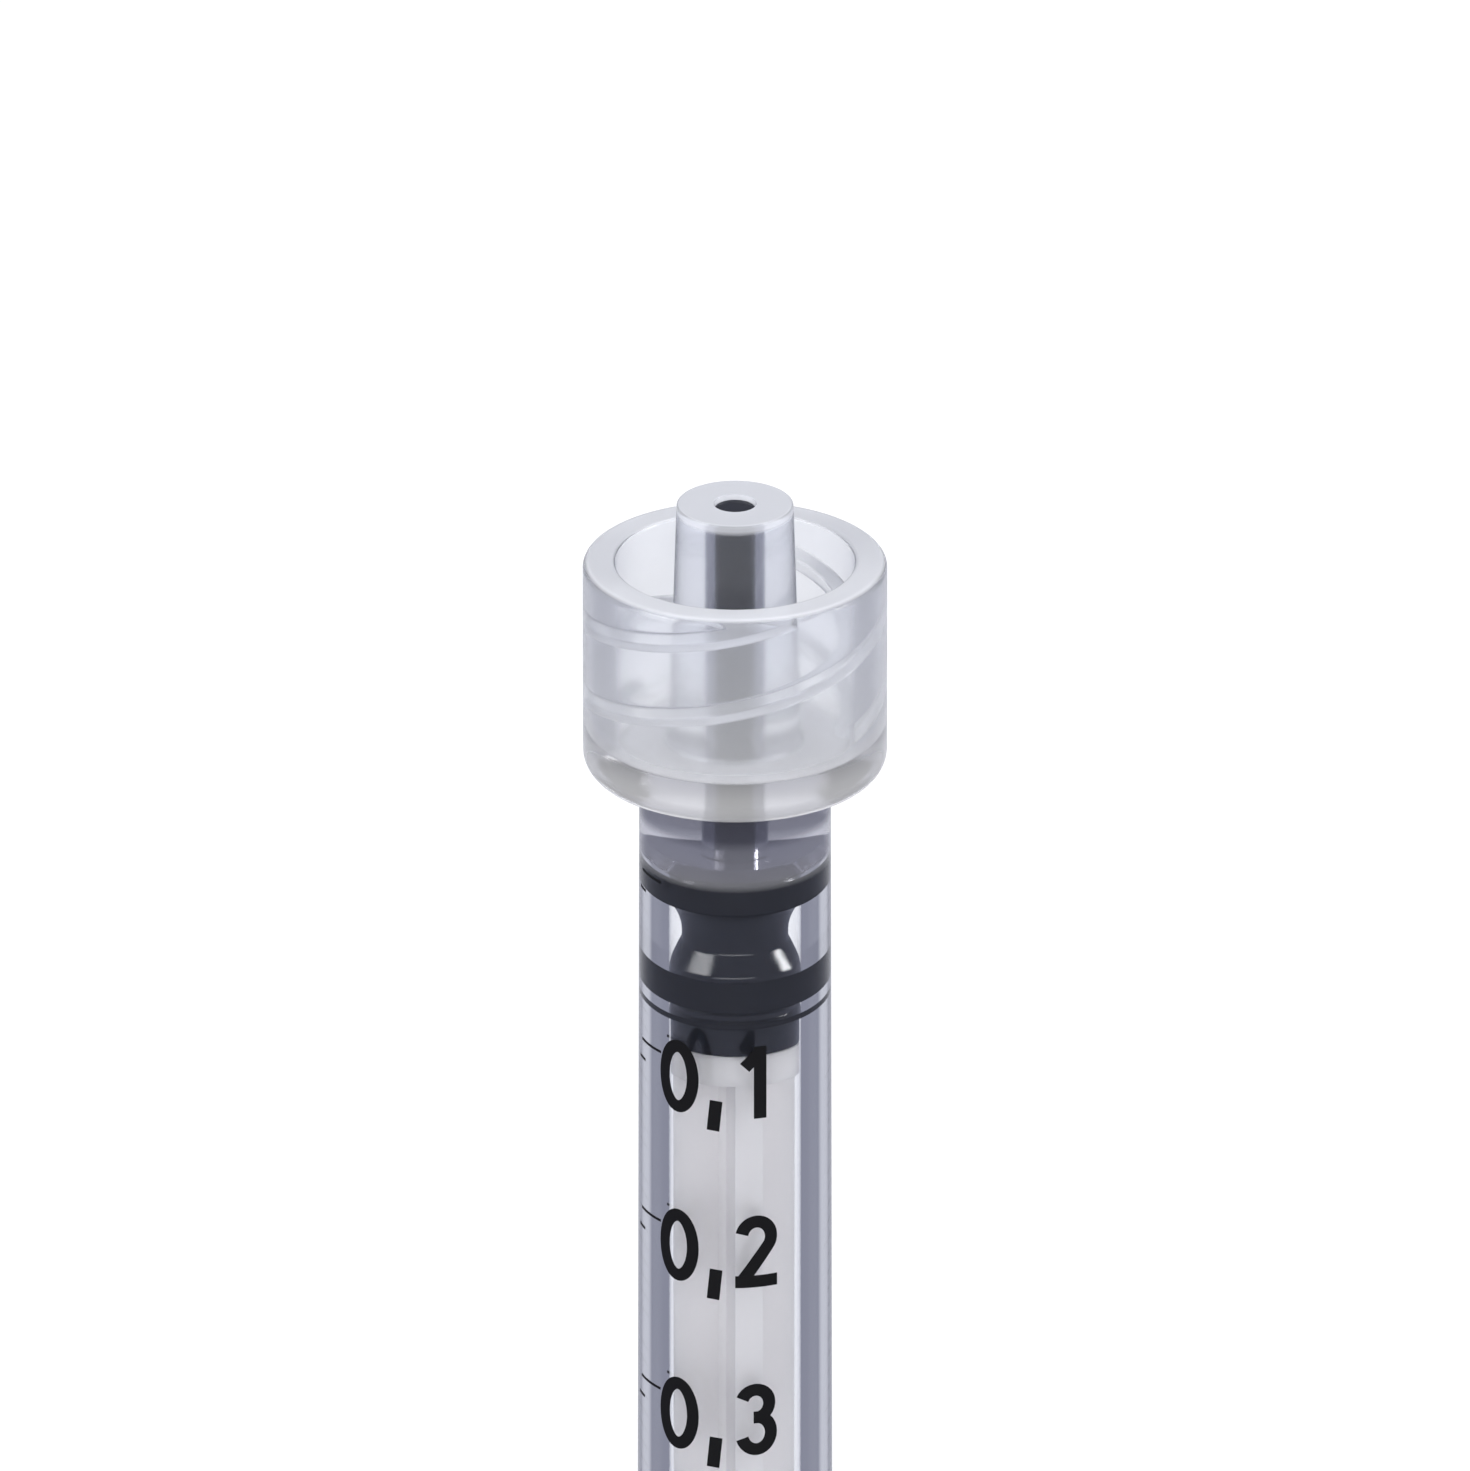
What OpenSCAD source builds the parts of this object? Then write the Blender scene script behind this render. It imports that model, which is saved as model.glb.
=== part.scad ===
// One millilitre luer lock syringe with a low dead space stopper.
// It stands on the plunger's thumb rest with its nozzle up, and the plunger is pressed fully home.
// The origin is the centre of the thumb rest's lower face, and +Z runs to the nozzle.

/* [Barrel] */
// Diameter of the bore
bore_d = 4.5; // [4.3:0.05:4.8]
// Wall of the tube just under the luer collar
barrel_wall = 1; // [0.8:0.05:1.3]
// Growth of the tube's outer radius from the collar to the finger flange, for mould release
barrel_draft = 0.2; // [0:0.05:0.4]
// Length of the graduated scale, from the zero line to the one millilitre line
scale_len = 62.9; // [56:0.1:66]
// Length of tube from the zero line up to the collar's lower face
head_len = 3.2; // [2.4:0.1:4.5]
// Length of tube from the one millilitre line down to the flange's lower face
tail_len = 9.5; // [8.5:0.1:14]
// Height of the slanted corner at the closed end of the bore
seat_h = 0.46; // [0.3:0.02:0.8]
// Width of the slanted corner at the closed end of the bore
seat_w = 0.32; // [0.2:0.02:0.5]
// Lead-in at the bore's open end
mouth_lead_in = 0.25; // [0.1:0.05:0.3]
// Height that the retaining bead stands into the bore
bead_h = 0.12; // [0.11:0.01:0.13]
// Length of the retaining bead along the bore
bead_len = 0.6; // [0.4:0.05:0.7]
// Distance from the flange's lower face to the bead
bead_z = 0.4; // [0.35:0.05:0.5]

/* [Luer lock] */
// Outer diameter of the lock collar
collar_d = 10.3; // [9.6:0.1:11]
// Height of the lock collar
collar_h = 7.7; // [7.4:0.1:8.4]
// Round of the collar's upper outer edge
collar_rim_round = 0.25; // [0.1:0.05:0.4]
// Round of the collar's lower outer edge
collar_foot_round = 0.8; // [0.3:0.1:1]
// Lead-in at the collar's upper inner edge
collar_lead_in = 0.12; // [0.05:0.01:0.2]
// Inner diameter of the collar, at the thread's root
cavity_d = 8.1; // [8:0.05:8.3]
// Depth of the collar's inside, from its upper face
cavity_depth = 6.4; // [6.2:0.1:6.6]
// Inner diameter of the collar over the thread's crests
thread_crest_d = 7.1; // [7:0.05:7.2]
// Lead of the thread, for one turn of one start
thread_lead = 5.5; // [5:0.1:5.6]
// Number of starts of the thread
thread_starts = 2; // [1:1:2]
// Turns that each start makes
thread_turns = 0.9; // [0.6:0.05:0.95]
// Width of the thread at its crest
thread_crest_w = 0.35; // [0.3:0.05:0.4]
// Width of the thread at its root
thread_root_w = 0.75; // [0.7:0.05:0.8]
// Distance from the collar's upper face to the middle of the thread where it starts
thread_start_depth = 0.48; // [0.46:0.01:0.6]
// Diameter of the nozzle at its end
nozzle_d = 3.96; // [3.92:0.01:4.03]
// Growth of the nozzle's diameter for each unit of length
nozzle_taper = 0.06; // [0.058:0.001:0.062]
// Length of the nozzle that stands out of the collar
nozzle_reach = 2.1; // [2.1:0.1:2.8]
// Round of the nozzle's outer edge
nozzle_round = 0.1; // [0.05:0.01:0.2]
// Diameter of the fluid channel through the nozzle
lumen_d = 1.44; // [1.42:0.02:1.6]
// Lead-in at the channel's upper edge
lumen_lead_in = 0.12; // [0.05:0.01:0.2]

/* [Finger flange] */
// Length of the flange across the fingers
flange_len = 18; // [15:0.5:22]
// Width of the flange between its flats
flange_w = 9.8; // [9:0.1:12]
// Thickness of the flange
flange_t = 1.5; // [1.2:0.1:2]
// Round of the flange's corners
flange_corner = 1.6; // [1:0.1:2.4]
// Radius of the fillet between the tube and the flange
flange_fillet = 0.6; // [0.3:0.1:1]

/* [Stopper] */
// Clearance between the sealing rings and the bore
ring_gap = 0.02; // [0.01:0.01:0.04]
// Clearance between the stopper's nose and the closed end of the bore
end_gap = 0.05; // [0.03:0.01:0.1]
// Height of the upper sealing ring
ring_top_h = 1.2; // [1:0.05:1.5]
// Depth of the waist below the rings
waist_in = 0.42; // [0.3:0.02:0.6]
// Distance from the zero line to the narrowest part of the waist
waist_z = 2.8; // [2.6:0.05:3]
// Distance from the zero line to the wide end of the cone under the waist
cone_z = 3.5; // [3.3:0.05:3.55]
// Depth of the cone's wide end below the rings
cone_in = 0.04; // [0.03:0.01:0.1]
// Distance from the zero line to the top of the lower sealing ring
ring_low_z = 3.6; // [3.4:0.05:3.8]
// Height of the lower sealing ring
ring_low_h = 1.24; // [1:0.02:1.4]
// Height of the groove under the lower ring
groove_h = 0.34; // [0.2:0.02:0.5]
// Depth of the groove under the lower ring
groove_in = 0.1; // [0.05:0.01:0.2]
// Height of the thin wiper lip
lip_h = 0.18; // [0.1:0.02:0.3]
// Depth of the skirt below the rings
skirt_in = 0.06; // [0.03:0.01:0.2]
// Overall length of the stopper below the zero line
stopper_len = 6.42; // [6:0.02:7]
// Diameter of the long pin that fills the fluid channel
pin_d = 1.32; // [1.2:0.02:1.34]
// Distance from the end of the nozzle down to the end of the pin
pin_recess = 0.15; // [0.05:0.01:0.5]
// Round of the pin's end
pin_round = 0.08; // [0.04:0.01:0.2]

/* [Plunger rod] */
// Clearance between the rod's head and its socket in the stopper
socket_gap = 0.05; // [0.03:0.01:0.08]
// Diameter of the rod's neck
neck_d = 1.3; // [1.1:0.05:1.5]
// Diameter of the rod's snap head
head_d = 2; // [1.8:0.05:2.2]
// Length of the neck below the snap head
neck_len = 1.2; // [1:0.1:1.5]
// Height of the snap head's cylindrical part
head_band_h = 0.5; // [0.4:0.05:0.7]
// Height of the snap head's cone
head_cone_h = 1.1; // [0.8:0.1:1.3]
// Diameter of the flat end of the cone
head_end_d = 0.8; // [0.6:0.1:1]
// Thickness of the round plate under the stopper
plate_t = 1.1; // [0.9:0.05:1.4]
// Clearance between the round plate and the bore
plate_gap = 0.06; // [0.05:0.01:0.08]
// Clearance between the ribs and the bore
rib_gap = 0.15; // [0.14:0.01:0.18]
// Thickness of each rib
rib_t = 0.85; // [0.7:0.05:1]
// Distance that the rod's round core stands out past the ribs' flat sides
core_round = 0.35; // [0.2:0.05:0.5]
// Angle at which the cross of ribs stands
rib_turn = 12; // [0:1:45]
// Diameter of the thumb rest
thumb_d = 12.6; // [11:0.1:15]
// Thickness of the thumb rest
thumb_t = 1.5; // [1.2:0.1:2]
// Round of the thumb rest's edges
thumb_round = 0.35; // [0.2:0.05:0.5]
// Distance between the thumb rest and the flange when the plunger is home
thumb_gap = 7; // [5:0.5:12]
// Depth of the recess under the thumb rest
thumb_recess = 0.25; // [0.15:0.05:0.35]
// Width of the flat ring around the recess, and of each grip ring in it
thumb_ring_w = 0.9; // [0.6:0.1:1.2]
// Distance from one grip ring to the next
thumb_ring_pitch = 1.9; // [1.6:0.1:2.2]
// Number of grip rings inside the outer one
thumb_rings = 2; // [0:1:2]

/* [Hidden] */
$fn = 96;
// Overrun that lets a cut pass its face
over = 0.5;
// Depth to which the thread's root is sunk into the collar wall
thread_sink = 0.1;
// Steps of the thread for one turn
thread_steps = 40;
// Turn of the first start's upper end, seen from above, with the front at -90
thread_start_turn = -62;
// Steps in each arc of an outline
steps_in_arc = 6;
// Share of the height from the upper ring to the waist that the flank's curve takes
flank_share = 0.8;

bore_r = bore_d / 2;
barrel_top_r = bore_r + barrel_wall;
barrel_foot_r = barrel_top_r + barrel_draft;
collar_r = collar_d / 2;
cavity_r = cavity_d / 2;
nozzle_r = nozzle_d / 2;
lumen_r = lumen_d / 2;
ring_r = bore_r - ring_gap;
waist_r = ring_r - waist_in;
cone_r = ring_r - cone_in;
plate_r = bore_r - plate_gap;
rib_r = bore_r - rib_gap;
pin_r = pin_d / 2;
neck_r = neck_d / 2;
head_r = head_d / 2;

z_flange = thumb_t + thumb_gap;
z_one = z_flange + tail_len;
z_zero = z_one + scale_len;
z_bore_end = z_zero + seat_h;
z_collar = z_zero + head_len;
z_rim = z_collar + collar_h;
z_tip = z_rim + nozzle_reach;
z_cavity = z_rim - cavity_depth;
z_nose = z_bore_end - end_gap;
z_pin = z_tip - pin_recess;
z_base = z_zero - stopper_len;
z_plate = z_base - plate_t;

// Points on an arc about a centre, from one angle to another.
function arc(centre, r, from, to) = [
    for (i = [0 : steps_in_arc])
        let (a = from + (to - from) * i / steps_in_arc)
            [centre[0] + r * cos(a), centre[1] + r * sin(a)]
];

// Outer radius of the nozzle at a distance below its end.
function nozzle_r_at(depth) = nozzle_r + depth * nozzle_taper / 2;

// Outside of the tube as a solid: the drafted wall, and the fillet into the flange.
module tube_blank() {
    fillet_r = barrel_foot_r + flange_fillet;
    flange_top = z_flange + flange_t;
    rotate_extrude() polygon(concat(
        [[0, z_flange], [fillet_r, z_flange]],
        arc([fillet_r, flange_top + flange_fillet], flange_fillet, -90, -180),
        [
            [barrel_top_r, z_collar + collar_foot_round],
            [0, z_collar + collar_foot_round]
        ]
    ));
}

// Outside of the lock collar as a solid: a round lower edge, and a small round at the rim.
module collar_blank() {
    rotate_extrude() polygon(concat(
        [[0, z_collar]],
        arc([collar_r - collar_foot_round, z_collar + collar_foot_round], collar_foot_round, -90, 0),
        arc([collar_r - collar_rim_round, z_rim - collar_rim_round], collar_rim_round, 0, 90),
        [[0, z_rim]]
    ));
}

// Ring-shaped space between the collar and the nozzle, where a hub screws in.
module collar_cavity() {
    rotate_extrude() polygon([
        [nozzle_r_at(z_tip - z_cavity), z_cavity],
        [cavity_r, z_cavity],
        [cavity_r, z_rim - collar_lead_in],
        [cavity_r + collar_lead_in, z_rim],
        [cavity_r + collar_lead_in, z_rim + over],
        [nozzle_r_at(nozzle_reach - over), z_rim + over]
    ]);
}

// Male cone of the luer fitting above the collar's rim.
module nozzle_end() {
    rotate_extrude() polygon(concat(
        [[0, z_cavity], [nozzle_r_at(z_tip - z_cavity), z_cavity]],
        arc([nozzle_r - nozzle_round, z_tip - nozzle_round], nozzle_round, 0, 90),
        [[0, z_tip]]
    ));
}

// Bore with its slanted closed end, and the retaining bead near its open end.
module bore_cut() {
    bead_low = z_flange + bead_z;
    rotate_extrude() polygon([
        [0, z_flange - over],
        [bore_r + mouth_lead_in, z_flange - over],
        [bore_r + mouth_lead_in, z_flange],
        [bore_r, z_flange + mouth_lead_in],
        [bore_r, bead_low],
        [bore_r - bead_h, bead_low + bead_len / 2],
        [bore_r, bead_low + bead_len],
        [bore_r, z_zero],
        [bore_r - seat_w, z_bore_end],
        [0, z_bore_end]
    ]);
}

// Fluid channel from the bore to the end of the nozzle.
module lumen_cut() {
    rotate_extrude() polygon([
        [0, z_bore_end - over],
        [lumen_r, z_bore_end - over],
        [lumen_r, z_tip - lumen_lead_in],
        [lumen_r + lumen_lead_in, z_tip],
        [lumen_r + lumen_lead_in, z_tip + over],
        [0, z_tip + over]
    ]);
}

// One start of the internal thread: a trapezoid swept along a right-handed helix.
module thread_start(turn) {
    count = ceil(thread_turns * thread_steps);
    root_r = cavity_r + thread_sink;
    sunk_w = thread_root_w / 2 + thread_sink * (thread_root_w - thread_crest_w) / (cavity_d - thread_crest_d);
    crest_r = thread_crest_d / 2;
    section = [
        [root_r, -sunk_w],
        [crest_r, -thread_crest_w / 2],
        [crest_r, thread_crest_w / 2],
        [root_r, sunk_w]
    ];
    sides = len(section);
    points = [
        for (i = [0 : count])
            let (
                a = turn - 360 * thread_turns * i / count,
                z = z_rim - thread_start_depth - thread_lead * thread_turns * i / count
            )
                for (p = section) [p[0] * cos(a), p[0] * sin(a), z + p[1]]
    ];
    walls = [
        for (i = [0 : count - 1])
            for (j = [0 : sides - 1])
                let (
                    k = (j + 1) % sides,
                    a = i * sides + j,
                    b = i * sides + k,
                    c = (i + 1) * sides + k,
                    d = (i + 1) * sides + j
                )
                    each [[a, b, c], [a, c, d]]
    ];
    caps = [
        [for (j = [sides - 1 : -1 : 0]) j],
        [for (j = [0 : sides - 1]) count * sides + j]
    ];
    polyhedron(points, concat(walls, caps), convexity = 6);
}

// Finger flange: an oval plate with two flats and round corners.
module flange_plate() {
    half_w = flange_w / 2;
    corner_y = half_w - flange_corner;
    corner_x = sqrt(pow(flange_len / 2 - flange_corner, 2) - pow(corner_y, 2));
    bow_turn = atan2(corner_y, corner_x);
    right_side = concat(
        arc([corner_x, -corner_y], flange_corner, -90, -bow_turn),
        arc([0, 0], flange_len / 2, -bow_turn, bow_turn),
        arc([corner_x, corner_y], flange_corner, bow_turn, 90)
    );
    left_side = [for (p = right_side) [-p[0], -p[1]]];
    translate([0, 0, z_flange])
        linear_extrude(flange_t)
            polygon(concat(right_side, left_side));
}

// Barrel, moulded in one piece with the nozzle, the lock collar and the finger flange.
module barrel() {
    color([0.86, 0.88, 0.92, 0.45]) {
        difference() {
            union() {
                tube_blank();
                difference() {
                    collar_blank();
                    collar_cavity();
                }
                nozzle_end();
                flange_plate();
            }
            bore_cut();
            lumen_cut();
        }
        for (i = [0 : thread_starts - 1])
            thread_start(thread_start_turn - i * 360 / thread_starts);
    }
}

// Outline of half the stopper, from the pin's end down to the socket's mouth.
module stopper_outline() {
    ring_low_foot = z_zero - ring_low_z - ring_low_h;
    lip_top = ring_low_foot - groove_h;
    flank_h = (waist_z - ring_top_h) * flank_share;
    polygon(concat(
        [[0, z_pin]],
        arc([pin_r - pin_round, z_pin - pin_round], pin_round, 90, 0),
        [
            [pin_r, z_nose],
            [ring_r - seat_w, z_nose],
            [ring_r, z_zero - end_gap],
            [ring_r, z_zero - ring_top_h],
            for (i = [1 : steps_in_arc - 1])
                let (s = i / steps_in_arc)
                    [ring_r - waist_in * sin(90 * s), z_zero - ring_top_h - flank_h * s],
            [waist_r, z_zero - waist_z],
            [cone_r, z_zero - cone_z],
            [cone_r, z_zero - ring_low_z],
            [ring_r, z_zero - ring_low_z],
            [ring_r, ring_low_foot],
            [ring_r - groove_in, ring_low_foot],
            [ring_r - groove_in, lip_top],
            [ring_r, lip_top],
            [ring_r, lip_top - lip_h],
            [ring_r - skirt_in, lip_top - lip_h],
            [ring_r - skirt_in, z_base],
            [0, z_base]
        ]
    ));
}

// Socket in the stopper that the rod's head snaps into, wider than the head by the clearance.
module socket_cut() {
    rotate_extrude() polygon([
        [0, z_base - over],
        [neck_r + socket_gap, z_base - over],
        [neck_r + socket_gap, z_base + neck_len - socket_gap],
        [head_r + socket_gap, z_base + neck_len - socket_gap],
        [head_r + socket_gap, z_base + neck_len + head_band_h + socket_gap],
        [head_end_d / 2 + socket_gap, z_base + neck_len + head_band_h + head_cone_h + socket_gap],
        [0, z_base + neck_len + head_band_h + head_cone_h + socket_gap]
    ]);
}

// Rubber stopper: two sealing rings with a waist and a cone between them, a wiper lip, and a pin.
module rubber_stopper() {
    color([0.12, 0.14, 0.18])
        difference() {
            rotate_extrude() stopper_outline();
            socket_cut();
        }
}

// Snap head, neck and round plate at the rod's upper end.
module rod_head() {
    rotate_extrude() polygon([
        [0, z_plate],
        [plate_r, z_plate],
        [plate_r, z_base],
        [neck_r, z_base],
        [neck_r, z_base + neck_len],
        [head_r, z_base + neck_len],
        [head_r, z_base + neck_len + head_band_h],
        [head_end_d / 2, z_base + neck_len + head_band_h + head_cone_h],
        [0, z_base + neck_len + head_band_h + head_cone_h]
    ]);
}

// Cross-shaped shaft: two ribs whose outer faces follow the bore, and a round core.
module rod_shaft() {
    intersection() {
        translate([0, 0, thumb_t - over])
            cylinder(h = z_plate - thumb_t + 2 * over, r = rib_r);
        rotate([0, 0, rib_turn])
            union() {
                translate([-rib_r, -rib_t / 2, thumb_t - over])
                    cube([2 * rib_r, rib_t, z_plate - thumb_t + 2 * over]);
                translate([-rib_t / 2, -rib_r, thumb_t - over])
                    cube([rib_t, 2 * rib_r, z_plate - thumb_t + 2 * over]);
                translate([0, 0, thumb_t - over])
                    cylinder(h = z_plate - thumb_t + 2 * over, r = rib_t / 2 + core_round);
            }
    }
}

// Thumb rest: a round plate with round edges, and a shallow recess with grip rings underneath.
module thumb_rest() {
    thumb_r = thumb_d / 2;
    difference() {
        rotate_extrude() polygon(concat(
            [[0, 0]],
            arc([thumb_r - thumb_round, thumb_round], thumb_round, -90, 0),
            arc([thumb_r - thumb_round, thumb_t - thumb_round], thumb_round, 0, 90),
            [[0, thumb_t]]
        ));
        for (i = [0 : thumb_rings]) {
            outer = thumb_r - thumb_round - thumb_ring_w - i * thumb_ring_pitch;
            inner = i < thumb_rings ? outer - thumb_ring_pitch + thumb_ring_w : 0;
            translate([0, 0, -over])
                difference() {
                    cylinder(h = thumb_recess + over, r = outer);
                    if (inner > 0)
                        cylinder(h = thumb_recess + over, r = inner);
                }
        }
    }
}

// Plunger rod, moulded in one piece with its head, its ribs and its thumb rest.
module plunger_rod() {
    color([0.9, 0.91, 0.93])
        union() {
            rod_head();
            rod_shaft();
            thumb_rest();
        }
}

barrel();
rubber_stopper();
plunger_rod();
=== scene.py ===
import math

import bmesh
import bpy
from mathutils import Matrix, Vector


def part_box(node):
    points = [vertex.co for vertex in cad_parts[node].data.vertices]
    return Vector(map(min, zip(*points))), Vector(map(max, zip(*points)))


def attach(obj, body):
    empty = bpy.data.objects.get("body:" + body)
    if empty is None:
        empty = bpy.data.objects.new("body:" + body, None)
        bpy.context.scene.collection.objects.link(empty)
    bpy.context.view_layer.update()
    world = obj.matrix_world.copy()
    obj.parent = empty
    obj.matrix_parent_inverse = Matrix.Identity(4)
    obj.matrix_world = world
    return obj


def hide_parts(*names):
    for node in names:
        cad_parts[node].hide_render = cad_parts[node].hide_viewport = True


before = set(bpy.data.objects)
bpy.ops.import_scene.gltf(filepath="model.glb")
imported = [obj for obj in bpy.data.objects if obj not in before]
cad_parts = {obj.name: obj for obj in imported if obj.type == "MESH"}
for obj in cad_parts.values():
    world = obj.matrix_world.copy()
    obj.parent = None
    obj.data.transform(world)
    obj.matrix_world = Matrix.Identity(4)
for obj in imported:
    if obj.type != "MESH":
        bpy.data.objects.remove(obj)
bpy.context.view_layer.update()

# Camera: a long lens far off looks down on the nozzle end from 24 degrees, as a product picture
# does. It is aimed at the syringe's axis a little above the zero line, so the lower end is out of
# the picture.
MM = 0.001
frame_width = 49.83 * MM
camera_elevation = 24.02
zero_z = 80.9
aim_above_zero = 4.408
camera_data = bpy.data.cameras.new("camera")
camera_data.sensor_width = 36
camera_data.lens = 1000
camera_distance = frame_width * camera_data.lens / camera_data.sensor_width
camera_rise = math.radians(camera_elevation)
camera_data.clip_start = camera_distance * 0.1
camera_data.clip_end = camera_distance * 10
camera = bpy.data.objects.new("camera", camera_data)
bpy.context.scene.collection.objects.link(camera)
camera.location = (
    0,
    -camera_distance * math.cos(camera_rise),
    (zero_z + aim_above_zero) * MM + camera_distance * math.sin(camera_rise),
)
camera.rotation_euler = (math.radians(90) - camera_rise, 0, 0)
bpy.context.scene.camera = camera
bpy.context.scene.view_settings.view_transform = "Standard"


# Studio: an even pale room with a white matt board, far enough below the syringe for its plunger to
# be drawn right out. The camera, and rays that only pass through the clear plastic, see both as
# white paper. What the plastic reflects is a dim grey room with one pale sheet behind the syringe.
def colour(code):
    """Linear colour of an sRGB hex code."""
    parts = [int(code[i : i + 2], 16) / 255 for i in (1, 3, 5)]
    return (*[p / 12.92 if p <= 0.04045 else ((p + 0.055) / 1.055) ** 2.4 for p in parts], 1)


def add_node(tree, kind, inputs, **settings):
    """A new node, whose inputs are given as values or as the sockets that they are linked to."""
    node = tree.nodes.new(kind)
    for name, value in settings.items():
        setattr(node, name, value)
    for name, value in inputs.items():
        if isinstance(value, bpy.types.NodeSocket):
            tree.links.new(value, node.inputs[name])
        else:
            node.inputs[name].default_value = value
    return node


def larger(tree, one, two):
    """Socket with the larger of two sockets' values."""
    return add_node(tree, "ShaderNodeMath", {0: one, 1: two}, operation="MAXIMUM").outputs[0]


def studio_surface(emitter, tree, matt, paper_glow, reflected_colour):
    """Shader of the board or the room: the matt surface with its paper's glow for what is seen
    directly, and a plain colour for what is seen reflected."""
    path = add_node(tree, "ShaderNodeLightPath", {})
    seen = larger(tree, path.outputs["Is Camera Ray"], path.outputs["Is Glossy Ray"])
    seen = larger(tree, seen, path.outputs["Is Transmission Ray"])
    strength = add_node(tree, "ShaderNodeMath", {0: seen, 1: paper_glow}, operation="MULTIPLY")
    glow = add_node(tree, emitter, {"Color": colour("#FFFFFF"), "Strength": strength.outputs[0]})
    plain = add_node(tree, "ShaderNodeAddShader", {0: matt.outputs[0], 1: glow.outputs[0]})
    reflected = add_node(tree, emitter, {"Color": reflected_colour, "Strength": 1.0})
    first_bounce = 0.5
    bounced = add_node(
        tree,
        "ShaderNodeMath",
        {0: path.outputs["Glossy Depth"], 1: first_bounce},
        operation="GREATER_THAN",
    )
    return add_node(
        tree,
        "ShaderNodeMixShader",
        {0: bounced.outputs[0], 1: plain.outputs[0], 2: reflected.outputs[0]},
    ).outputs[0]


room_grey = colour("#898B9A")
sheet_white = colour("#D4D6DF")
sheet_edge = math.cos(math.radians(24))
sheen_start, sheen_full = 0.6, 0.95
floor_half = 4.0
floor_drop = 66 * MM
floor_glow = 0.42
board = bpy.data.materials.new("white_board")
board.use_nodes = True
tree = board.node_tree
tree.nodes.clear()
place = add_node(tree, "ShaderNodeTexCoord", {})
outward = add_node(
    tree, "ShaderNodeVectorMath", {0: place.outputs["Object"]}, operation="NORMALIZE"
)
behind = add_node(tree, "ShaderNodeSeparateXYZ", {0: outward.outputs[0]})
# Inside the plastic the sheet shows as a narrow stripe, and as a wider sheen on its outer faces.
stripe = add_node(
    tree,
    "ShaderNodeMapRange",
    {0: behind.outputs["Y"], 1: sheet_edge, 2: 1.0, 3: 0.0, 4: 1.0},
    interpolation_type="SMOOTHSTEP",
)
sheen = add_node(
    tree,
    "ShaderNodeMapRange",
    {0: behind.outputs["Y"], 1: sheen_start, 2: sheen_full, 3: 0.0, 4: 1.0},
    interpolation_type="SMOOTHSTEP",
)
path = add_node(tree, "ShaderNodeLightPath", {})
outer_sheen = add_node(
    tree,
    "ShaderNodeMath",
    {0: sheen.outputs[0], 1: path.outputs["Is Transmission Ray"]},
    operation="SUBTRACT",
)
sheet = larger(tree, stripe.outputs[0], outer_sheen.outputs[0])
shade = add_node(
    tree, "ShaderNodeMix", {0: sheet, 6: room_grey, 7: sheet_white}, data_type="RGBA"
)
matt = add_node(tree, "ShaderNodeBsdfDiffuse", {"Color": colour("#DADADB")})
surface = studio_surface("ShaderNodeEmission", tree, matt, floor_glow, shade.outputs[2])
# From below, the board is looked through, so the syringe's underside can be seen.
side = add_node(tree, "ShaderNodeNewGeometry", {})
unseen = add_node(tree, "ShaderNodeBsdfTransparent", {})
surface = add_node(
    tree,
    "ShaderNodeMixShader",
    {0: side.outputs["Backfacing"], 1: surface, 2: unseen.outputs[0]},
).outputs[0]
add_node(tree, "ShaderNodeOutputMaterial", {"Surface": surface})
board.cycles.emission_sampling = "NONE"
shape = bmesh.new()
bmesh.ops.create_grid(shape, x_segments=1, y_segments=1, size=floor_half)
floor_mesh = bpy.data.meshes.new("floor")
shape.to_mesh(floor_mesh)
shape.free()
floor_mesh.materials.append(board)
floor = bpy.data.objects.new("floor", floor_mesh)
floor.location.z = -floor_drop
bpy.context.scene.collection.objects.link(floor)

studio_level = 0.82
room_glow = 0.28
world = bpy.data.worlds.new("studio")
world.use_nodes = True
tree = world.node_tree
tree.nodes.clear()
room = add_node(
    tree, "ShaderNodeBackground", {"Color": colour("#F4F5F8"), "Strength": studio_level}
)
surface = studio_surface("ShaderNodeBackground", tree, room, room_glow, room_grey)
add_node(tree, "ShaderNodeOutputWorld", {"Surface": surface})
bpy.context.scene.world = world


# Lamps: a long soft box to the left and a smaller one to the right, which are both mirrored on the
# stopper, and a low broad one in front that lights the side with the scale.
lamp_white = colour("#FFFEFB")
lamp_aim = Vector((0, 0, 60 * MM))


def soft_box(name, place, wide, high, power):
    """A rectangular soft light that faces the middle of the syringe."""
    data = bpy.data.lights.new(name, "AREA")
    data.shape = "RECTANGLE"
    data.size, data.size_y, data.energy = wide, high, power
    data.color = lamp_white[:3]
    lamp = bpy.data.objects.new(name, data)
    lamp.location = place
    lamp.rotation_euler = (lamp_aim - Vector(place)).to_track_quat("-Z", "Y").to_euler()
    bpy.context.scene.collection.objects.link(lamp)


soft_box("left_soft_box", (-0.75, -0.38, 0.52), 0.62, 0.26, 2.9)
soft_box("right_soft_box", (0.9, -0.04, 0.36), 0.26, 0.24, 3.0)
soft_box("front_soft_box", (0.0, -1.25, 0.22), 1.4, 0.36, 4.2)


# Barrel: one clear polypropylene moulding with its nozzle, lock collar and finger flange.
# The tube's core pin and cavity are polished, so it is glass-clear, and the nozzle and collar come
# out slightly milky. The outline is turned once round the bore, then the thread and the flats are
# pressed in.
def arc(centre, radius, start, end, steps, radius_2=None):
    """Points of a round stretch of an outline, between two angles in degrees."""
    angles = [math.radians(start + (end - start) * i / steps) for i in range(steps + 1)]
    upright = radius if radius_2 is None else radius_2
    return [
        (centre[0] + radius * math.cos(a), centre[1] + upright * math.sin(a)) for a in angles
    ]


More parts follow.
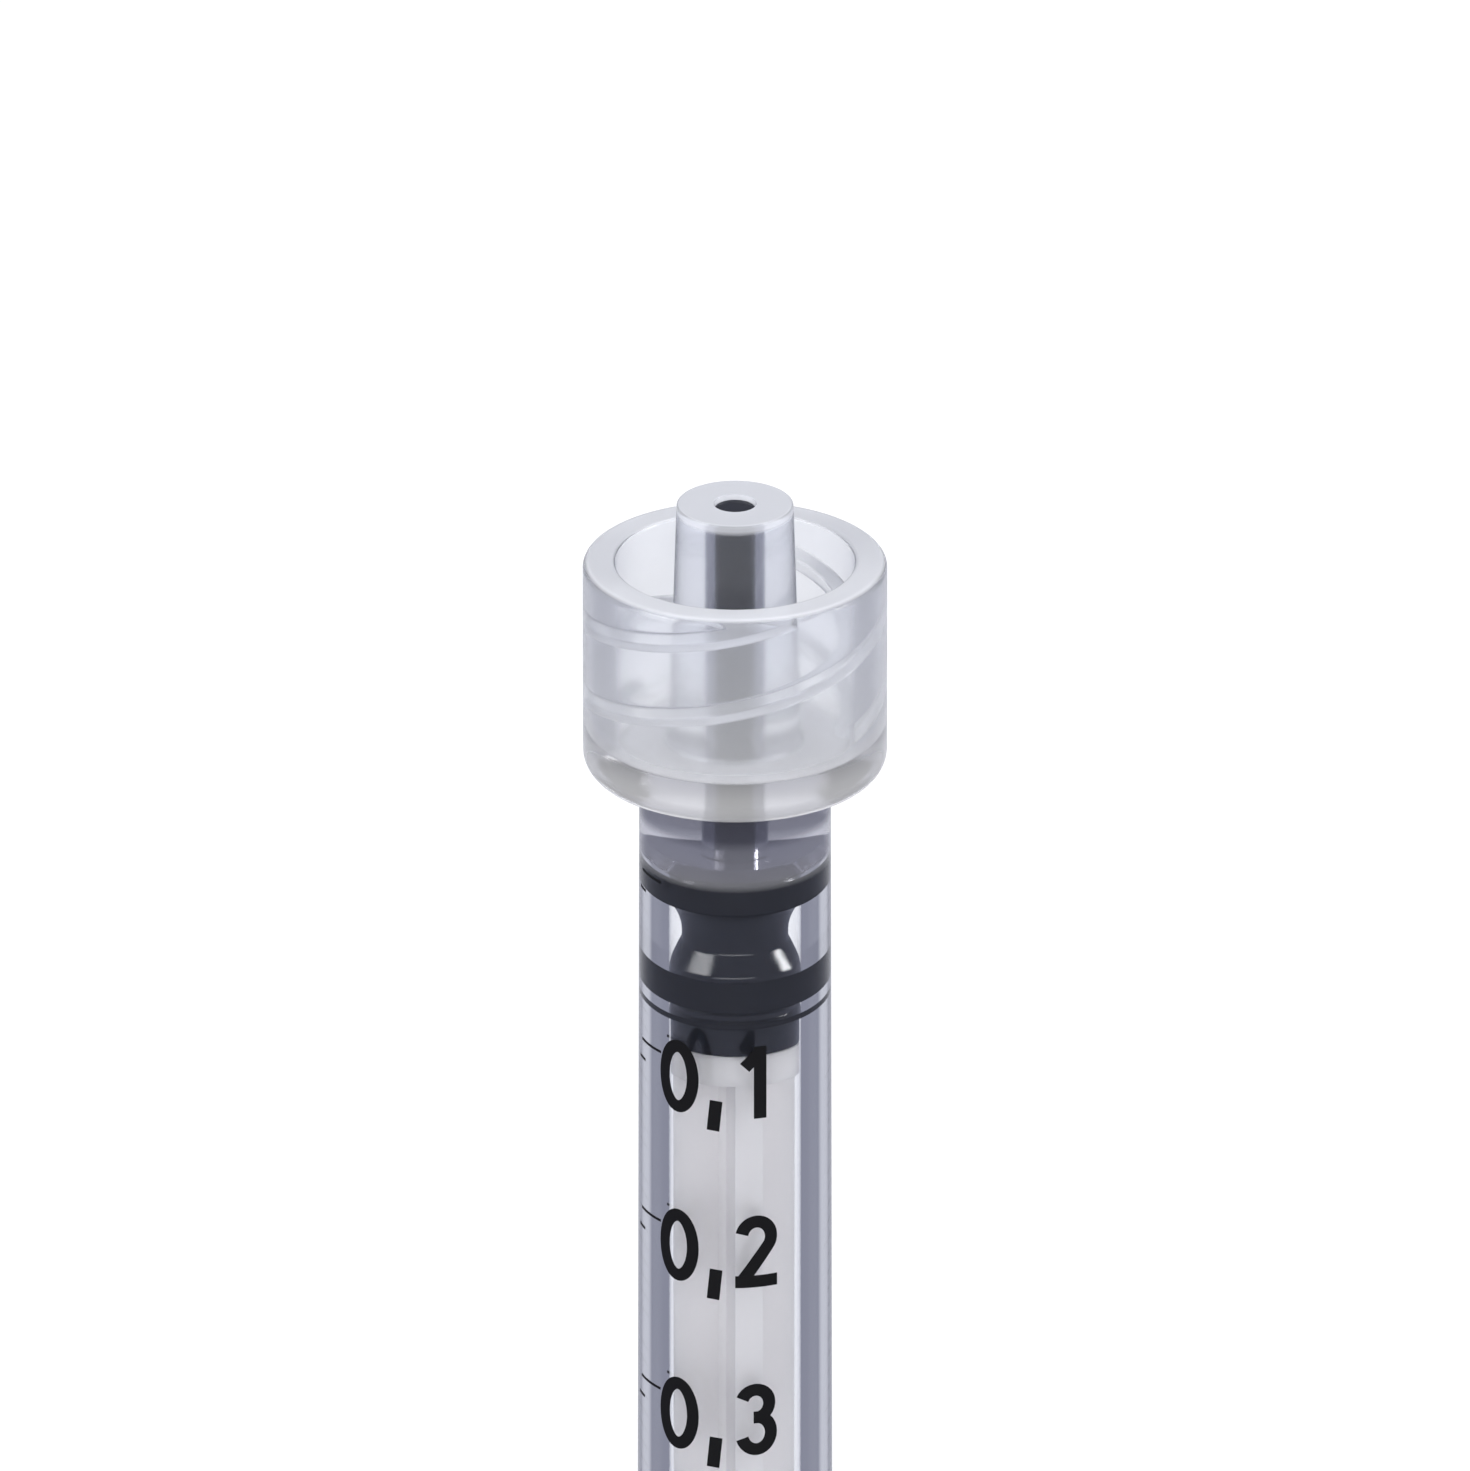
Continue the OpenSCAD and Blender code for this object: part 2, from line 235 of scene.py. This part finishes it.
def turned(outline, steps, closed, brace=0.03):
    """Mesh in millimetres, made by turning an outline of (radius, height) points round the Z axis.

    A long stretch gets a point close to each end, so that the shading of a round edge doesn't run
    into it.
    """
    braced = []
    for start, end in zip(outline, outline[1:] + outline[:1]):
        start, end = Vector(start), Vector(end)
        braced.append(start)
        if (end - start).length > 8 * brace and (closed or end != Vector(outline[0])):
            along = (end - start).normalized() * brace
            braced += [start + along, end - along]
    shape = bmesh.new()
    corners = [shape.verts.new((r, 0, z)) for r, z in braced]
    ends = corners[1:] + corners[:1] if closed else corners[1:]
    edges = [shape.edges.new(pair) for pair in zip(corners, ends)]
    bmesh.ops.spin(
        shape,
        geom=corners + edges,
        cent=(0, 0, 0),
        axis=(0, 0, 1),
        angle=math.tau,
        steps=steps,
        use_merge=True,
    )
    bmesh.ops.remove_doubles(shape, verts=shape.verts, dist=0.0005)
    bmesh.ops.recalc_face_normals(shape, faces=shape.faces)
    return shape


def piece(name, shape, material, sharp=30):
    """Object from a mesh in millimetres, shaded smooth up to the given angle between faces."""
    mesh = bpy.data.meshes.new(name)
    bmesh.ops.scale(shape, vec=(MM, MM, MM), verts=shape.verts)
    shape.to_mesh(mesh)
    shape.free()
    mesh.shade_smooth()
    mesh.set_sharp_from_angle(angle=math.radians(sharp))
    mesh.materials.append(material)
    made = bpy.data.objects.new(name, mesh)
    bpy.context.scene.collection.objects.link(made)
    return made


barrel_low, barrel_high = (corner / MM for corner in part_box("barrel"))
flange_z = barrel_low.z
tip_z = barrel_high.z
bore_r = 2.25
tube_top_r = 3.25
tube_foot_r = 3.45
nozzle_reach = 2.1
collar_h = 7.7
rim_z = tip_z - nozzle_reach
collar_z = rim_z - collar_h
collar_r = 5.15
collar_foot_round = 0.8
rim_round = 0.25
cavity_r = 4.05
cavity_depth = 6.4
cavity_z = rim_z - cavity_depth
inner_round = 0.12
nozzle_r = 1.98
nozzle_growth = 0.03
nozzle_round = 0.1
lumen_r = 0.72
mouth_round = 0.02
bore_end_z = zero_z + 0.46
seat_w = 0.32
bead_z, bead_len, bead_h = flange_z + 0.4, 0.6, 0.12
mouth = 0.25
flange_t = 1.5
flange_fillet = 0.6
flange_round = 0.25
flange_end_r = 9.0
flange_half_w = 4.9
flange_corner = 1.6
turn_steps = 224
thread_starts = 2
thread_lead = 5.5
thread_turns = 0.9
thread_h = 0.5
thread_half_crest = 0.175
thread_half_root = 0.375
thread_depth = 0.48
thread_first_turn = -62


def nozzle_wall(z):
    """Radius of the luer cone at a height, which grows by 6 percent of the length across."""
    return nozzle_r + (tip_z - z) * nozzle_growth


wall_low = cavity_z + inner_round
wall_high = rim_z - inner_round
thread_climb = thread_lead / turn_steps
thread_rows = math.ceil((wall_high - wall_low) / thread_climb)
fillet_r = tube_foot_r + flange_fillet
fillet_z = flange_z + flange_t
outline = (
    [(bore_r + mouth, flange_z)]
    + arc((flange_end_r - flange_round, flange_z + flange_round), flange_round, -90, 0, 5)
    + arc((flange_end_r - flange_round, fillet_z - flange_round), flange_round, 0, 90, 5)
    + arc((fillet_r, fillet_z + flange_fillet), flange_fillet, -90, -180, 8)
    + arc((tube_top_r + inner_round, collar_z - inner_round), inner_round, 180, 90, 4)
    + arc(
        (collar_r - collar_foot_round, collar_z + collar_foot_round), collar_foot_round, -90, 0, 10
    )
    + arc((collar_r - rim_round, rim_z - rim_round), rim_round, 0, 90, 6)
    + arc((cavity_r + inner_round, rim_z - inner_round), inner_round, 90, 180, 4)
    + [(cavity_r, wall_high - i * thread_climb) for i in range(1, thread_rows)]
    + arc((cavity_r - inner_round, cavity_z + inner_round), inner_round, 0, -90, 4)
    + [(nozzle_wall(cavity_z) + inner_round, cavity_z)]
    + [(nozzle_wall(cavity_z), cavity_z + inner_round)]
    + arc((nozzle_r - nozzle_round, tip_z - nozzle_round), nozzle_round, 0, 90, 5)
    + arc((lumen_r + mouth_round, tip_z - mouth_round), mouth_round, 90, 180, 4)
    + [(lumen_r, bore_end_z)]
    + [(bore_r - seat_w, bore_end_z), (bore_r, zero_z)]
    + [(bore_r, bead_z + bead_len), (bore_r - bead_h, bead_z + bead_len / 2), (bore_r, bead_z)]
    + [(bore_r, flange_z + mouth)]
)
shape = turned(outline, turn_steps, closed=True)


def thread_height(angle, z):
    """Height of the thread over the collar's inner wall: two right-handed, sloping starts."""
    best = 0.0
    for start in range(thread_starts):
        turns = (thread_first_turn - start * 360 / thread_starts - angle) / 360 % 1
        if turns > thread_turns:
            continue
        off = abs(z - (rim_z - thread_depth - thread_lead * turns))
        share = (thread_half_root - off) / (thread_half_root - thread_half_crest)
        share = min(max(share, 0.0), 1.0)
        best = max(best, thread_h * share * share * (3 - 2 * share))
    return best


hair = 0.001
corner_y = flange_half_w - flange_corner
corner_x = math.sqrt((flange_end_r - flange_corner) ** 2 - corner_y**2)


def flange_reach(angle):
    """Distance from the axis to the flange's edge: round end, round corner, then flat side."""
    x, y = abs(math.cos(angle)), abs(math.sin(angle))
    if y * corner_x < x * corner_y:
        return flange_end_r
    if y * corner_x > x * flange_half_w:
        return flange_half_w / y
    near = corner_x * x + corner_y * y
    return near + math.sqrt(near**2 - corner_x**2 - corner_y**2 + flange_corner**2)


for vert in shape.verts:
    radius = math.hypot(vert.co.x, vert.co.y)
    angle = math.atan2(vert.co.y, vert.co.x)
    wanted = radius
    if vert.co.z < fillet_z + hair and radius > fillet_r + 0.1:
        wanted = radius + flange_reach(angle) - flange_end_r
    elif abs(radius - cavity_r) < hair and vert.co.z > cavity_z:
        wanted = radius - thread_height(math.degrees(angle), vert.co.z)
    vert.co.x *= wanted / radius
    vert.co.y *= wanted / radius

# A row of the wall is as high as the thread climbs from one column to the next, so that the
# shorter diagonal of each face runs along the thread, and the thread's edges come out clean.
thread_faces = [
    face
    for face in shape.faces
    if all(
        wall_low - hair < vert.co.z < wall_high + hair
        and cavity_r - thread_h - hair < math.hypot(vert.co.x, vert.co.y) < cavity_r + hair
        for vert in face.verts
    )
]
bmesh.ops.triangulate(shape, faces=thread_faces, quad_method="SHORT_EDGE")

# Natural polypropylene, injection moulded. Its polished thin tube is clear, and only the edges
# look grey. The thick neck, the collar and the end faces scatter light, so what lies behind them
# is soft and pale. The neck's grey tint, darkest just under the collar, is painted shade, and the
# whiter thread crests are a painted highlight.
clear_plastic = bpy.data.materials.new("natural_polypropylene_clear")
clear_plastic.use_nodes = True
tree = clear_plastic.node_tree
tree.nodes.clear()
place = add_node(tree, "ShaderNodeTexCoord", {})
at = add_node(tree, "ShaderNodeSeparateXYZ", {0: place.outputs["Object"]})
haze_height = add_node(
    tree,
    "ShaderNodeMapRange",
    {0: at.outputs["Z"], 1: zero_z * MM, 2: tip_z * MM, 3: 0.0, 4: 1.0},
)
haze = add_node(tree, "ShaderNodeValToRGB", {0: haze_height.outputs[0]})
# Height, tint and share of scattered light, from the tube to the nozzle's end. The neck's grey
# tints are painted shade, for the little light that gets in below the collar.
haze_and_shade_steps = [
    (zero_z, "#FBFCFF", 0.0),
    (bore_end_z, "#B4B4C0", 0.3),
    (collar_z - 1.7, "#A6A7B5", 0.3),
    # Just under the collar the tint is darkest: a painted shadow of the collar's foot.
    (collar_z - 1.3, "#6A6B7A", 0.3),
    (collar_z - 0.1, "#6A6B7A", 0.3),
    (collar_z + 0.1, "#FCFCFE", 0.42),
    (cavity_z - 0.2, "#FCFCFE", 0.35),
    (cavity_z + 0.8, "#FBFCFF", 0.19),
    (tip_z, "#F1F3FA", 0.16),
]
while len(haze.color_ramp.elements) < len(haze_and_shade_steps):
    haze.color_ramp.elements.new(0.5)
for stop, (z, code, share) in zip(haze.color_ramp.elements, haze_and_shade_steps):
    stop.position = (z - zero_z) / (tip_z - zero_z)
    stop.color = (*colour(code)[:3], share)
level = add_node(
    tree, "ShaderNodeVectorMath", {0: place.outputs["Object"], 1: (1, 1, 0)}, operation="MULTIPLY"
)
from_axis = add_node(tree, "ShaderNodeVectorMath", {0: level.outputs[0]}, operation="LENGTH")
out_share = add_node(
    tree, "ShaderNodeMapRange", {0: from_axis.outputs["Value"], 1: 0.0, 2: collar_r * MM}
)
thinner = add_node(tree, "ShaderNodeValToRGB", {0: out_share.outputs[0]})
# Distance from the axis, and how much of that haze there is: none round the channel, less in the
# nozzle and the neck's middle, and more in the thread's crests, which paints a highlight on them
# for the glints of their flanks.
haze_share_and_glint_steps = [
    (1.0, 0.0),
    (1.2, 0.45),
    (2.4, 0.45),
    (2.6, 1.0),
    (3.4, 1.0),
    (3.45, 2.4),
    (3.65, 2.4),
    (3.95, 1.0),
]
while len(thinner.color_ramp.elements) < len(haze_share_and_glint_steps):
    thinner.color_ramp.elements.new(0.5)
for stop, (radius, share) in zip(thinner.color_ramp.elements, haze_share_and_glint_steps):
    stop.position = radius / collar_r
    stop.color = (share, share, share, 1)
wall_haze = add_node(
    tree,
    "ShaderNodeMath",
    {0: haze.outputs["Alpha"], 1: thinner.outputs["Color"]},
    operation="MULTIPLY",
)
# The collar's and nozzle's end faces, the nozzle's lip and the flange's thick foot are hazier
# still. From the collar's foot up the light bends less, as milky plastic has no sharp reflections.
end_tilt, end_flat, end_haze = 0.5, 0.95, 0.8
foot_haze, foot_haze_h = 0.22, 2.0
lip_haze, lip_haze_start, lip_haze_full = 0.5, 0.4, 0.2
milky_start, milky_full = collar_z * MM, (collar_z + 0.2) * MM
clear_ior, milky_ior = 1.49, 1.36
polished, etched_nozzle, etched_collar = 0.02, 0.21, 0.16
etched_nozzle_r, etched_collar_r = 2.4, 2.8
facing = add_node(tree, "ShaderNodeNewGeometry", {})
up = add_node(tree, "ShaderNodeSeparateXYZ", {0: facing.outputs["Normal"]})
end_face = add_node(
    tree,
    "ShaderNodeMapRange",
    {0: up.outputs["Z"], 1: end_tilt, 2: end_flat, 3: 0.0, 4: end_haze},
)
milky = add_node(
    tree, "ShaderNodeMapRange", {0: at.outputs["Z"], 1: milky_start, 2: milky_full}
)
matt_end = add_node(
    tree, "ShaderNodeMath", {0: end_face.outputs[0], 1: milky.outputs[0]}, operation="MULTIPLY"
)
thick_foot = add_node(
    tree,
    "ShaderNodeMapRange",
    {
        0: at.outputs["Z"],
        1: fillet_z * MM,
        2: (fillet_z + foot_haze_h) * MM,
        3: foot_haze,
        4: 0.0,
    },
)
nozzle_lip = add_node(
    tree,
    "ShaderNodeMapRange",
    {
        0: at.outputs["Z"],
        1: (tip_z - lip_haze_start) * MM,
        2: (tip_z - lip_haze_full) * MM,
        3: 0.0,
        4: lip_haze,
    },
)
scattered = larger(tree, wall_haze.outputs[0], matt_end.outputs[0])
scattered = larger(tree, scattered, nozzle_lip.outputs[0])
scattered = larger(tree, scattered, thick_foot.outputs[0])
bending = add_node(
    tree,
    "ShaderNodeMapRange",
    {0: at.outputs["Z"], 1: milky_start, 2: milky_full, 3: clear_ior, 4: milky_ior},
)
clearness = add_node(tree, "ShaderNodeMath", {0: 1.0, 1: scattered}, operation="SUBTRACT")
etched = add_node(
    tree,
    "ShaderNodeMapRange",
    {
        0: from_axis.outputs["Value"],
        1: etched_nozzle_r * MM,
        2: etched_collar_r * MM,
        3: etched_nozzle,
        4: etched_collar,
    },
)
roughness = add_node(
    tree,
    "ShaderNodeMapRange",
    {0: at.outputs["Z"], 1: zero_z * MM, 2: collar_z * MM, 3: polished, 4: etched.outputs[0]},
)
plastic = add_node(
    tree,
    "ShaderNodeBsdfPrincipled",
    {
        "Base Color": haze.outputs["Color"],
        "Roughness": roughness.outputs[0],
        "Transmission Weight": clearness.outputs[0],
        "IOR": bending.outputs[0],
    },
)
add_node(tree, "ShaderNodeOutputMaterial", {"Surface": plastic.outputs[0]})

barrel = piece("clear_barrel", shape, clear_plastic, sharp=42)
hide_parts("barrel")
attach(barrel, "barrel")


# Scale: black ink printed on the tube, a long line and a numeral for each tenth of a millilitre,
# and short lines for the hundredths. It is a film that follows the tube's draft.
step_len = 6.29
print_drop = 0.12
stroke_w = 0.44
line_w = 0.09
cap_h = 2.67
numeral_w = 1.47
zero_w = 1.61
numeral_drop = 0.65
zero_x, comma_x, tenth_x = -2.07, -0.7, 0.74
comma_rise, comma_h, comma_slant = 0.66, 1.11, 0.055
line_starts = {"long": -73, "middle": -200, "short": -185}
line_stops = {"long": -50, "middle": -150, "short": -150}
dash_from, dash_to, dash_drop = -77, -68, 0.69
ink_film = 0.02
ink_sunk = 0.006
tube_foot_z = fillet_z + flange_fillet


def tube_wall(z):
    """Outer radius of the tube at a height."""
    return tube_top_r + (tube_foot_r - tube_top_r) * (collar_z - z) / (collar_z - tube_foot_z)


def spaced(path, gap):
    """The path with points added, so that none is further than the gap from the next."""
    out = [Vector(path[0])]
    for start, end in zip(path, path[1:]):
        start, end = Vector(start), Vector(end)
        count = max(1, math.ceil((end - start).length / gap))
        out += [start.lerp(end, i / count) for i in range(1, count + 1)]
    return out


def stroke(shape, path, width, gap=0.15):
    """A printed line of even width along a flat path, closed if the path ends where it starts."""
    points = spaced(path, gap)
    closed = (points[0] - points[-1]).length < 0.001
    if closed:
        points.pop()
    rungs = []
    for i, point in enumerate(points):
        before = points[i - 1] if i or closed else point
        after = points[(i + 1) % len(points)] if closed or i + 1 < len(points) else point
        along = (after - before).normalized()
        side = Vector((-along.y, along.x)) * width / 2
        rungs.append([shape.verts.new((p.x, 0, p.y)) for p in (point + side, point - side)])
    for one, two in zip(rungs, rungs[1:] + rungs[:1] if closed else rungs[1:]):
        shape.faces.new((one[0], one[1], two[1], two[0]))


# Each numeral's strokes, in shares of the width and height between its outermost centre lines.
over_w = stroke_w / 2 / (numeral_w - stroke_w)
over_h = stroke_w / 2 / (cap_h - stroke_w)
six_strokes = [
    arc((0.5, 0.3), 0.5, -90, 270, 28, 0.3),
    arc((1.02, 0.3), 1.02, 180, 108, 10, 0.74),
]
numeral_strokes = {
    "0": [arc((0.5, 0.5), 0.5, 0, 360, 40, 0.5)],
    "1": [[(0.62, -over_h), (0.62, 1 + over_h)], [(0.58, 0.99), (0.1, 0.76)]],
    "2": [
        arc((0.5, 0.74), 0.5, 168, -28, 18, 0.26) + [(0.03, 0.02)],
        [(-over_w, 0), (1 + over_w, 0)],
    ],
    "3": [
        arc((0.47, 0.765), 0.47, 160, -85, 18, 0.235),
        arc((0.5, 0.27), 0.5, 88, -162, 20, 0.27),
        [(0.4, 0.535), (0.62, 0.535)],
    ],
    "4": [
        [(0.66, 1 + over_h), (0.02, 0.26)],
        [(-over_w, 0.26), (1 + over_w, 0.26)],
        [(0.72, 0.62), (0.72, -over_h)],
    ],
    "5": [
        [(0.96 + over_w, 1), (0.1, 1)],
        [(0.1, 1 + over_h), (0.06, 0.5)],
        arc((0.48, 0.32), 0.52, 138, -158, 22, 0.32),
    ],
    "6": six_strokes,
    "7": [[(-over_w, 1), (1 + over_w, 1)], [(0.96, 1), (0.38, -over_h)]],
    "8": [
        arc((0.5, 0.765), 0.44, -90, 270, 26, 0.235),
        arc((0.5, 0.27), 0.5, -90, 270, 28, 0.27),
    ],
    "9": [[(1 - u, 1 - v) for u, v in line] for line in six_strokes],
}


def numeral(shape, sign, x, z):
    """Prints a numeral centred on a place of the unrolled tube."""
    wide = (zero_w if sign == "0" else numeral_w) - stroke_w
    high = cap_h - stroke_w
    for line in numeral_strokes[sign]:
        path = [(x + (u - 0.5) * wide, z + (v - 0.5) * high) for u, v in line]
        stroke(shape, path, stroke_w)


shape = bmesh.new()
for tenth in range(11):
    line_z = zero_z - print_drop - tenth * step_len
    if tenth:
        middle = line_z - numeral_drop
        numeral(shape, str(tenth // 10), zero_x, middle)
        numeral(shape, str(tenth % 10), tenth_x, middle)
        comma_top = middle - cap_h / 2 + comma_rise
        comma_foot = (comma_x - comma_slant, comma_top - comma_h)
        stroke(shape, [(comma_x + comma_slant, comma_top), comma_foot], stroke_w)
    for part in range(10 if tenth < 10 else 1):
        kind = "long" if part == 0 else "middle" if part == 5 else "short"
        z = line_z - part * step_len / 10
        r = tube_wall(z)
        ends = [(math.radians(a) * r, z) for a in (line_starts[kind], line_stops[kind])]
        stroke(shape, ends, line_w)
        if kind == "long":
            dash_z = z - dash_drop
            ends = [(math.radians(a) * r, dash_z) for a in (dash_from, dash_to)]
            stroke(shape, ends, line_w)
for vert in shape.verts:
    r = tube_wall(vert.co.z)
    turn = vert.co.x / r
    r -= ink_sunk
    vert.co.x, vert.co.y = r * math.sin(turn), -r * math.cos(turn)
bmesh.ops.recalc_face_normals(shape, faces=shape.faces)
for face in shape.faces:
    middle = face.calc_center_median()
    if face.normal.x * middle.x + face.normal.y * middle.y < 0:
        face.normal_flip()
bmesh.ops.solidify(shape, geom=shape.faces[:], thickness=-ink_film)
bmesh.ops.recalc_face_normals(shape, faces=shape.faces)

# Screen printed ink: dense, nearly black and satin, with faint unevenness from the printing pad.
ink = bpy.data.materials.new("black_pad_print")
ink.use_nodes = True
tree = ink.node_tree
tree.nodes.clear()
place = add_node(tree, "ShaderNodeTexCoord", {})
mottle = add_node(
    tree, "ShaderNodeTexNoise", {"Vector": place.outputs["Object"], "Scale": 1 / (0.2 * MM)}
)
ink_roughness = add_node(
    tree, "ShaderNodeMapRange", {0: mottle.outputs[0], 1: 0.3, 2: 0.7, 3: 0.42, 4: 0.58}
)
ink_shader = add_node(
    tree,
    "ShaderNodeBsdfPrincipled",
    {
        "Base Color": colour("#0C0B0D"),
        "Roughness": ink_roughness.outputs[0],
        "Specular IOR Level": 0.25,
    },
)
add_node(tree, "ShaderNodeOutputMaterial", {"Surface": ink_shader.outputs[0]})
scale_print = piece("scale_print", shape, ink)
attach(scale_print, "barrel")


# Stopper: one dark moulding of synthetic rubber that is pressed over the rod's snap head.
# Its two rings squeeze against the bore, and its long pin fills the nozzle's channel.
ring_r = 2.262
waist_r = 1.81
cone_r = 2.21
skirt_r = 2.19
groove_r = 2.13
pin_r = 0.7
stopper_low, stopper_high = (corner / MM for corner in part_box("rubber_stopper"))
pin_z = stopper_high.z
base_z = stopper_low.z
nose_z = bore_end_z - 0.05
ring_top_h = 1.2
waist_z = zero_z - 2.8
cone_z = zero_z - 3.5
low_ring_z = zero_z - 3.6
low_ring_foot = low_ring_z - 1.24
lip_z = low_ring_foot - 0.34
lip_h = 0.18
edge = 0.08
socket_r, socket_depth = 0.7, 2.8
top_ring_foot = zero_z - ring_top_h
flank_r = ring_r - edge
flank_h = (top_ring_foot - waist_z) * 0.8
flank = [
    (flank_r - (flank_r - waist_r) * math.sin(math.radians(90 * s)), top_ring_foot - flank_h * s)
    for s in [i / 10 for i in range(1, 11)]
]
outline = (
    [(0, pin_z)]
    + arc((pin_r - edge, pin_z - edge), edge, 90, 0, 4)
    + arc((pin_r + 0.15, nose_z + 0.15), 0.15, 180, 270, 4)
    + [(ring_r - seat_w - edge, nose_z), (ring_r - edge, zero_z - 0.05)]
    + [(ring_r, zero_z - 0.15), (ring_r, top_ring_foot + edge)]
    + arc((ring_r - edge, top_ring_foot + edge), edge, 0, -50, 3)
    + flank
    + [(waist_r, waist_z + edge), (waist_r + 0.01, waist_z)]
    + [(cone_r - 0.01, cone_z + edge / 2), (cone_r, cone_z - edge / 2)]
    + [(cone_r, low_ring_z + 0.01), (ring_r - edge / 2, low_ring_z)]
    + [(ring_r, low_ring_z - edge / 2), (ring_r, low_ring_foot + edge)]
    + [(ring_r - edge, low_ring_foot)]
    + [(groove_r, low_ring_foot - edge), (groove_r, lip_z + edge)]
    + [(ring_r, lip_z), (ring_r, lip_z - lip_h), (skirt_r, lip_z - lip_h - edge)]
    + arc((skirt_r - edge, base_z + edge), edge, 0, -90, 4)
    + [(socket_r, base_z), (socket_r, base_z + socket_depth), (0, base_z + socket_depth)]
)
shape = turned(outline, 144, closed=False)

# Butyl rubber, pressed in a steel mould: blue-black, with a soft sheen from its film of silicone
# oil.
rubber = bpy.data.materials.new("butyl_rubber_moulded")
rubber.use_nodes = True
tree = rubber.node_tree
tree.nodes.clear()
place = add_node(tree, "ShaderNodeTexCoord", {})
grain = add_node(
    tree,
    "ShaderNodeTexNoise",
    {"Vector": place.outputs["Object"], "Scale": 1 / (0.25 * MM), "Detail": 3.0},
)
rubber_roughness = add_node(
    tree, "ShaderNodeMapRange", {0: grain.outputs[0], 1: 0.3, 2: 0.7, 3: 0.17, 4: 0.22}
)
relief = add_node(
    tree,
    "ShaderNodeBump",
    {"Height": grain.outputs[0], "Strength": 0.08, "Distance": 0.01 * MM},
)
rubber_shader = add_node(
    tree,
    "ShaderNodeBsdfPrincipled",
    {
        "Base Color": colour("#0B1019"),
        "Roughness": rubber_roughness.outputs[0],
        "Specular IOR Level": 0.8,
        "Normal": relief.outputs[0],
    },
)
add_node(tree, "ShaderNodeOutputMaterial", {"Surface": rubber_shader.outputs[0]})
stopper = piece("stopper", shape, rubber)
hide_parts("rubber_stopper")
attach(stopper, "plunger")


# Plunger rod: one natural white moulding, which stays as the frame has it: snap head, round plate,
# cross-shaped shaft and thumb rest. The plastic is thick and cloudy, so light sinks into it and
# softens it.
cloudy = bpy.data.materials.new("natural_polypropylene_cloudy")
cloudy.use_nodes = True
tree = cloudy.node_tree
tree.nodes.clear()
place = add_node(tree, "ShaderNodeTexCoord", {})
grain = add_node(
    tree,
    "ShaderNodeTexNoise",
    {"Vector": place.outputs["Object"], "Scale": 1 / (0.6 * MM), "Detail": 2.0},
)
cloudy_roughness = add_node(
    tree, "ShaderNodeMapRange", {0: grain.outputs[0], 1: 0.3, 2: 0.7, 3: 0.3, 4: 0.42}
)
cloudy_shader = add_node(
    tree,
    "ShaderNodeBsdfPrincipled",
    {
        "Base Color": colour("#EEECEC"),
        "Roughness": cloudy_roughness.outputs[0],
        "IOR": 1.49,
        "Subsurface Weight": 0.7,
        "Subsurface Radius": (1.0, 1.0, 1.0),
        "Subsurface Scale": 0.8 * MM,
    },
)
add_node(tree, "ShaderNodeOutputMaterial", {"Surface": cloudy_shader.outputs[0]})
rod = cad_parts["plunger_rod"]
rod.material_slots[0].material = cloudy
